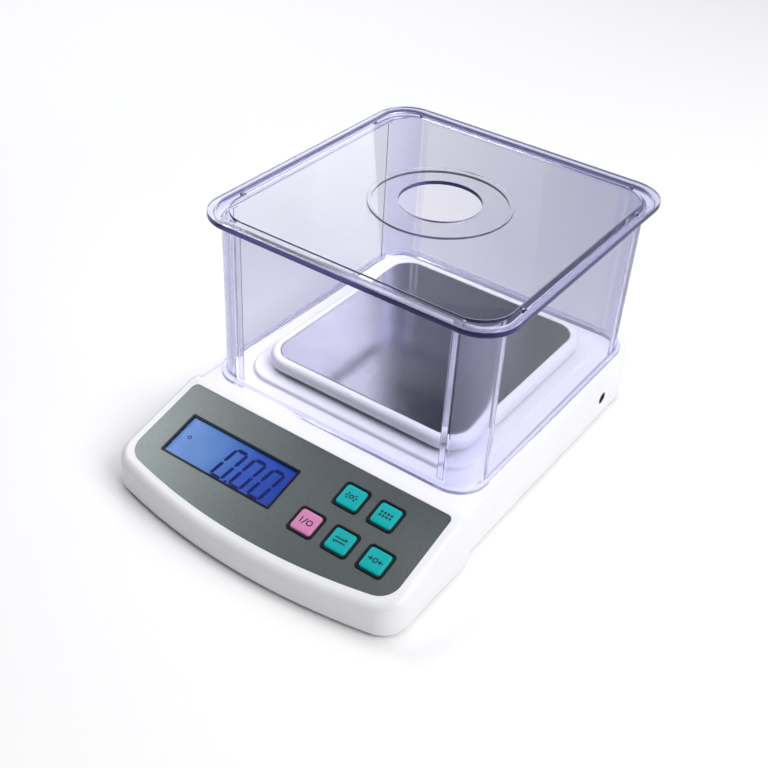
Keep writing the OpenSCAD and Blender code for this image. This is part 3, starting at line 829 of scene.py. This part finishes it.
def display_digits():
    """Slanted seven-segment digits 0.00, and a small ring well to their left."""
    low, high = panel_box("lcd_glass")
    face = high.z
    base, top = face - 0.02 * MM, face + 0.04 * MM
    left_edge = (low.x + high.x) / 2 - 35.85 * MM
    upper_edge = (low.y + high.y) / 2 + 13.45 * MM
    bm = bmesh.new()
    width, height, stroke, gap = 7.0 * MM, 18.6 * MM, 1.95 * MM, 0.22 * MM
    lean = math.tan(math.radians(8))
    corners = {"tl": (0, 1), "tr": (1, 1), "ml": (0, 0.5), "mr": (1, 0.5), "bl": (0, 0), "br": (1, 0)}
    zero = (("tl", "tr"), ("tr", "mr"), ("mr", "br"), ("bl", "br"), ("ml", "bl"), ("tl", "ml"))
    pitch = 12.1 * MM
    for column in range(3):
        origin = Vector((left_edge + 31.6 * MM + pitch * column, upper_edge - 24.4 * MM))
        for first, last in zero:
            start = Vector((corners[first][0] * width, corners[first][1] * height))
            end = Vector((corners[last][0] * width, corners[last][1] * height))
            along = (end - start).normalized()
            side = Vector((-along.y, along.x)) * stroke / 2
            near, far = start + along * gap, end - along * gap
            tip = along * stroke / 2
            outline = [near, near + tip - side, far - tip - side, far, far - tip + side, near + tip + side]
            prism(bm, [(origin.x + p.x + p.y * lean, origin.y + p.y) for p in outline], base, top)
    dot_x = left_edge + 31.6 * MM + pitch - 2.1 * MM
    dot_y = upper_edge - 24.4 * MM
    bar(bm, (dot_x - 0.8 * MM, dot_y), (dot_x + 0.8 * MM, dot_y), 1.6 * MM, base, top)
    arc(bm, (left_edge + 7.4 * MM, upper_edge - 12.6 * MM), 0.9 * MM, 0.5 * MM, 0, 359, base, top)
    finish_piece(solid("display_digits", bm, PANEL), "root", "digit_navy")


# ---------- pan ----------

def pan_plate():
    low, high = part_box("pan_plate")
    half = (high - low) / 2
    sections = eased(half.x, half.y, PLATE_RADIUS, low.z, high.z, 0.35 * MM)
    plate = lofted("plate_disc", rounded_rings(sections, PAN))
    finish_piece(plate, "plate", "plate_stainless", ["pan_plate"])


def pan_tray():
    """Tray with a broad rounded lip round the plate's pocket, hollow below, with sockets for the posts."""
    low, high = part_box("pan_tray")
    half = (high - low) / 2
    plate_low, plate_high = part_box("pan_plate")
    skirt = plate_low.z - 5 * MM
    wall = 2 * MM
    lip = 3.2 * MM
    pocket_w = (plate_high.x - plate_low.x) / 2 + 0.3 * MM
    pocket_d = (plate_high.y - plate_low.y) / 2 + 0.3 * MM
    ceiling = plate_low.z - 1.8 * MM
    sections = [
        (half.x - wall, half.y - wall, TRAY_RADIUS - wall, ceiling),
        (half.x - wall, half.y - wall, TRAY_RADIUS - wall, skirt),
        (half.x - 0.7 * MM, half.y - 0.7 * MM, TRAY_RADIUS - 0.7 * MM, skirt),
        (half.x - 0.3 * MM, half.y - 0.3 * MM, TRAY_RADIUS - 0.3 * MM, skirt + 0.4 * MM)]
    for angle in quarter(8):
        inset = lip * (1 - math.cos(angle))
        level = high.z - lip * (1 - math.sin(angle))
        sections.append((half.x - inset, half.y - inset, TRAY_RADIUS - inset, level))
    for angle in reversed(quarter()):
        inner = 0.7 * MM
        out = inner * (1 - math.cos(angle))
        level = high.z - inner * (1 - math.sin(angle))
        sections.append((pocket_w + out, pocket_d + out, PLATE_RADIUS + 0.3 * MM + out, level))
    sections.append((pocket_w, pocket_d, PLATE_RADIUS + 0.3 * MM, plate_low.z))
    tray = lofted("tray_body", rounded_rings(sections, PAN))
    socket, hole = 8.2 * MM, 6.4 * MM
    cap_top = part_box("support_caps")[1].z
    for spot in post_spots():
        body = round_rings([(socket, low.z), (socket, ceiling + 0.5 * MM)], spot, 48)
        carve(tray, [lofted("socket", body)], "UNION")
        bore = round_rings([(hole, low.z - 1 * MM), (hole, cap_top)], spot, 48)
        carve(tray, [lofted("bore", bore)])
    finish_piece(tray, "tray", "tray_white", ["pan_tray"])


# ---------- draft shield ----------

def shield_sections():
    """Profile of the shield's wall, foot and rim, from its foot's outer edge round to its inside."""
    low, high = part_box("draft_shield")
    rim_w, rim_d = (high.x - low.x) / 2, (high.y - low.y) / 2
    wall_w, wall_d = SHIELD_HALF
    foot, top = low.z, high.z
    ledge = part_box("shield_lid")[0].z - 0.05 * MM
    foot_w, foot_d, foot_radius = wall_w + 2 * MM, wall_d + 3 * MM, SHIELD_RADIUS + 1 * MM
    inner_w, inner_d, inner_radius = wall_w - SHIELD_T, wall_d - SHIELD_T, SHIELD_RADIUS - SHIELD_T
    band = top - 3.3 * MM
    return [
        (foot_w - 0.3 * MM, foot_d - 0.3 * MM, foot_radius, foot),
        (foot_w, foot_d, foot_radius, foot + 0.3 * MM),
        (foot_w, foot_d, foot_radius, foot + 1.6 * MM),
        (foot_w - 0.2 * MM, foot_d - 0.25 * MM, foot_radius, foot + 2.1 * MM),
        (foot_w - 0.8 * MM, foot_d - 1.0 * MM, foot_radius - 0.4 * MM, foot + 2.35 * MM),
        (wall_w + 0.5 * MM, wall_d + 0.8 * MM, SHIELD_RADIUS + 0.3 * MM, foot + 2.6 * MM),
        (wall_w + 0.1 * MM, wall_d + 0.2 * MM, SHIELD_RADIUS, foot + 3.3 * MM),
        (wall_w, wall_d, SHIELD_RADIUS, foot + 4.5 * MM),
        (wall_w, wall_d, SHIELD_RADIUS, band - 3.0 * MM),
        (wall_w + 0.3 * MM, wall_d + 0.1 * MM, SHIELD_RADIUS + 0.2 * MM, band - 2.2 * MM),
        (wall_w + 1.4 * MM, wall_d + 0.4 * MM, SHIELD_RADIUS + 0.8 * MM, band - 1.6 * MM),
        (wall_w + 4.2 * MM, wall_d + 1.2 * MM, SHIELD_RADIUS + 1.5 * MM, band - 1.3 * MM),
        (wall_w + 4.8 * MM, wall_d + 1.8 * MM, SHIELD_RADIUS + 2.0 * MM, band - 0.4 * MM),
        (rim_w - 1.0 * MM, rim_d - 1.2 * MM, RIM_RADIUS - 0.8 * MM, band),
        (rim_w - 0.2 * MM, rim_d - 0.2 * MM, RIM_RADIUS - 0.1 * MM, band + 0.25 * MM),
        (rim_w, rim_d, RIM_RADIUS, band + 0.8 * MM),
        (rim_w, rim_d, RIM_RADIUS, top - 0.7 * MM),
        (rim_w - 0.2 * MM, rim_d - 0.2 * MM, RIM_RADIUS - 0.2 * MM, top - 0.2 * MM),
        (rim_w - 0.7 * MM, rim_d - 0.7 * MM, RIM_RADIUS - 0.7 * MM, top),
        (RECESS_HALF + 0.4 * MM, RECESS_HALF + 0.4 * MM, RECESS_RADIUS + 0.4 * MM, top),
        (RECESS_HALF, RECESS_HALF, RECESS_RADIUS, top - 0.4 * MM),
        (RECESS_HALF, RECESS_HALF, RECESS_RADIUS, ledge + 0.3 * MM),
        (RECESS_HALF - 0.3 * MM, RECESS_HALF - 0.3 * MM, RECESS_RADIUS - 0.3 * MM, ledge),
        (inner_w + 0.4 * MM, inner_d + 0.4 * MM, inner_radius + 0.4 * MM, ledge),
        (inner_w, inner_d, inner_radius, ledge - 0.4 * MM),
        (inner_w, inner_d, inner_radius, foot + 0.3 * MM),
        (inner_w + 0.3 * MM, inner_d + 0.3 * MM, inner_radius + 0.3 * MM, foot)]


def corner_spots(x, y):
    return [Vector((PAN.x + sx * x, PAN.y + sy * y, 0)) for sx in (-1, 1) for sy in (-1, 1)]


def shield_body():
    """Clear walls with a flared foot, a flanged rim with a ledge for the lid, corner ribs and pegs."""
    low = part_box("draft_shield")[0]
    body = lofted("shield_body", rounded_rings(shield_sections(), PAN), closed=True)
    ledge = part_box("shield_lid")[0].z - 0.05 * MM
    rib_low, rib_high = low.z + 1.95 * MM, ledge - 2 * MM
    rib_half, rib_t, sunk = 1.7 * MM, 0.9 * MM, 0.4 * MM
    inner_w, inner_d = SHIELD_HALF[0] - SHIELD_T, SHIELD_HALF[1] - SHIELD_T
    along_x = SHIELD_HALF[0] - SHIELD_RADIUS - rib_half
    along_y = SHIELD_HALF[1] - SHIELD_RADIUS - rib_half
    half_t = (rib_t + sunk) / 2
    additions = []
    for spot in corner_spots(along_x, inner_d - rib_t + half_t):
        sections = eased(rib_half, half_t, 0.5 * MM, rib_low, rib_high, 0.3 * MM)
        additions.append(lofted("rib", rounded_rings(sections, spot, 4)))
    for spot in corner_spots(inner_w - rib_t + half_t, along_y):
        sections = eased(half_t, rib_half, 0.5 * MM, rib_low, rib_high, 0.3 * MM)
        additions.append(lofted("rib", rounded_rings(sections, spot, 4)))
    peg, from_tab, reach = 0.9 * MM, 1.5 * MM, 82.4 * MM
    side_tab, front_tab = 56 * MM, 66 * MM
    for spot in corner_spots(reach, side_tab + from_tab) + corner_spots(front_tab + from_tab, reach):
        sections = [
            (peg, ledge - 0.3 * MM), (peg, ledge + 1.7 * MM), (peg - 0.15 * MM, ledge + 1.93 * MM),
            (peg - 0.4 * MM, ledge + 2 * MM)]
        additions.append(lofted("peg", round_rings(sections, spot, 24)))
    carve(body, additions, "UNION")

    foot_top = low.z + 2 * MM
    rim_bottom = ledge - 3.6 * MM

    def is_shaded_rim_band(spot, normal):
        """Outer band of the rim, which gets dark navy painted shade."""
        outward = (spot.x - PAN.x) * normal.x + (spot.y - PAN.y) * normal.y > 0
        return outward and abs(normal.z) < 0.7 and spot.z > ledge - 0.6 * MM

    def is_thick(spot, normal):
        """Rim, foot, round corners and ribs."""
        in_corner = min(abs(normal.x), abs(normal.y)) > 0.12
        x, y = abs(spot.x - PAN.x), abs(spot.y - PAN.y)
        on_rib = x < inner_w - 0.2 * MM and y < inner_d - 0.2 * MM
        return spot.z > rim_bottom or spot.z < foot_top or in_corner or on_rib

    # Painted shade on the rim's outer band; deeper tint on the rim, foot, corners and ribs.
    finish_piece(
        body, "shield", "shield_clear", ["draft_shield"],
        [("shield_edge_shade", is_shaded_rim_band), ("shield_thick", is_thick)])


def lid_body():
    """Clear lid with four thin tabs, a raised ring and a finger hole."""
    low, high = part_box("shield_lid")
    top = low.z + 1.95 * MM
    tab_top = low.z + 1.15 * MM
    reach, side_tab, front_tab = 84 * MM, 56 * MM, 66 * MM
    edge = 0.3 * MM
    lid = lofted("lid_body", rounded_rings(eased(LID_HALF, LID_HALF, LID_RADIUS, low.z, top, edge), PAN))
    side = lofted("side_tabs", rounded_rings(eased(reach, side_tab, 0.8 * MM, low.z, tab_top, edge), PAN, 4))
    front_rings = rounded_rings(eased(front_tab, reach, 0.8 * MM, low.z, tab_top, edge), PAN, 4)
    front = lofted("front_tabs", front_rings)
    disc_edge = 0.5 * MM
    ring = [(DISC_RADIUS, low.z + 0.45 * MM)]
    for angle in quarter():
        level = high.z - disc_edge * (1 - math.sin(angle))
        ring.append((DISC_RADIUS - disc_edge * (1 - math.cos(angle)), level))
    disc = lofted("disc", round_rings(ring, PAN, 128))
    carve(lid, [side, front, disc], "UNION")
    hollow_radius = DISC_RADIUS - 2 * MM
    hollow = round_rings([(hollow_radius, low.z - 1 * MM), (hollow_radius, low.z + 1.35 * MM)], PAN, 128)
    flare = 0.4 * MM
    hole = [(HOLE_RADIUS, low.z - 2 * MM)]
    for angle in quarter():
        hole.append((HOLE_RADIUS + flare * (1 - math.cos(angle)), high.z - flare * (1 - math.sin(angle))))
    hole.append((HOLE_RADIUS + flare, high.z + 2 * MM))
    carve(lid, [lofted("hollow", hollow), lofted("hole", round_rings(hole, PAN, 128))])

    def is_shaded_hole_wall(spot, normal):
        return abs(normal.z) < 0.7 and (spot - PAN).xy.length < HOLE_RADIUS + 1 * MM

    def is_shaded_lid_edge(spot, normal):
        return abs(normal.z) < 0.7 and max(abs(spot.x - PAN.x), abs(spot.y - PAN.y)) > DISC_RADIUS + 2 * MM

    def is_rounding(spot, normal):
        return abs(normal.z) < 0.9

    def is_face(spot, normal):
        return abs(normal.z) >= 0.9

    # Painted shade on the finger hole's wall and the lid's outer edges; deeper tint on its rounded edges.
    finish_piece(
        lid, "lid", "shield_clear", ["shield_lid"],
        [("shield_edge_shade", is_shaded_hole_wall), ("lid_edge_shade", is_shaded_lid_edge), ("shield_thick", is_rounding),
         ("lid_clear", is_face)])


# ---------- stage, light and camera ----------

def stage():
    """Large flat pale floor."""
    bm = bmesh.new()
    bmesh.ops.create_grid(bm, x_segments=1, y_segments=1, size=6)
    floor = solid("floor", bm, Matrix.Translation((0, 0, -0.0002)))
    finish = Finish("floor_pale", Roughness=0.9)
    drift = finish.noise(0.6)
    hue = finish.blend(drift, (0.93, 0.93, 0.935), (0.95, 0.95, 0.95))
    finish.link(hue, finish.shader.inputs["Base Color"])
    floor.data.materials.append(finish.material)


def area_light(name, place, target, size, power, colour=(1, 1, 1)):
    light = bpy.data.lights.new(name, "AREA")
    light.shape = "RECTANGLE"
    light.size, light.size_y = size
    light.energy = power
    light.color = colour
    lamp = bpy.data.objects.new(name, light)
    lamp.location = place
    lamp.rotation_euler = (Vector(target) - Vector(place)).to_track_quat("-Z", "Y").to_euler()
    bpy.context.scene.collection.objects.link(lamp)


def lights():
    world = bpy.data.worlds.new("studio")
    bpy.context.scene.world = world
    world.use_nodes = True
    backdrop = world.node_tree.nodes["Background"]
    backdrop.inputs["Color"].default_value = (0.80, 0.85, 1.0, 1)
    backdrop.inputs["Strength"].default_value = 0.12
    area_light("key_light", (1.25, -0.12, 1.2), (0, 0, 0.05), (1.0, 1.0), 20, (1, 0.99, 0.97))
    area_light("top_light", (0.3, 0.5, 1.6), (0, 0, 0), (1.4, 1.4), 12)
    area_light("back_left_light", (-0.92, 0.86, 0.90), (-0.03, 0, 0.05), (0.55, 0.8), 3.6)
    area_light("back_light", (-0.68, 1.12, 0.78), (0, 0, 0.05), (0.4, 0.4), 0.22)
    area_light("left_light", (-1.18, 0.06, 1.12), (-0.08, -0.1, 0.03), (0.45, 0.6), 6)
    bpy.context.scene.view_settings.view_transform = "Standard"


def camera():
    """Looks down from the front right, with a slight roll."""
    azimuth, elevation, roll = (math.radians(a) for a in (33.455, 37.126, 3.703))
    data = bpy.data.cameras.new("view")
    data.sensor_width = 36
    data.lens = 53.4
    data.shift_x = -0.0012
    data.clip_start = 0.01
    back = Vector((
        math.sin(azimuth) * math.cos(elevation),
        -math.cos(azimuth) * math.cos(elevation),
        math.sin(elevation)))
    level = Vector((math.cos(azimuth), math.sin(azimuth), 0))
    raised = back.cross(level)
    right = math.cos(roll) * level + math.sin(roll) * raised
    up = -math.sin(roll) * level + math.cos(roll) * raised
    place = PAN + Vector((0.2668, -0.4438, 0.4055 - PAN.z))
    viewer = bpy.data.objects.new("view", data)
    axes = Matrix((right, up, back)).transposed()
    viewer.matrix_world = Matrix.Translation(place) @ axes.to_4x4()
    bpy.context.scene.collection.objects.link(viewer)
    bpy.context.scene.camera = viewer


dress_frame()
casing_shell()
key_surrounds()
key_caps()
display_digits()
pan_tray()
pan_plate()
shield_body()
lid_body()
stage()
lights()
camera()
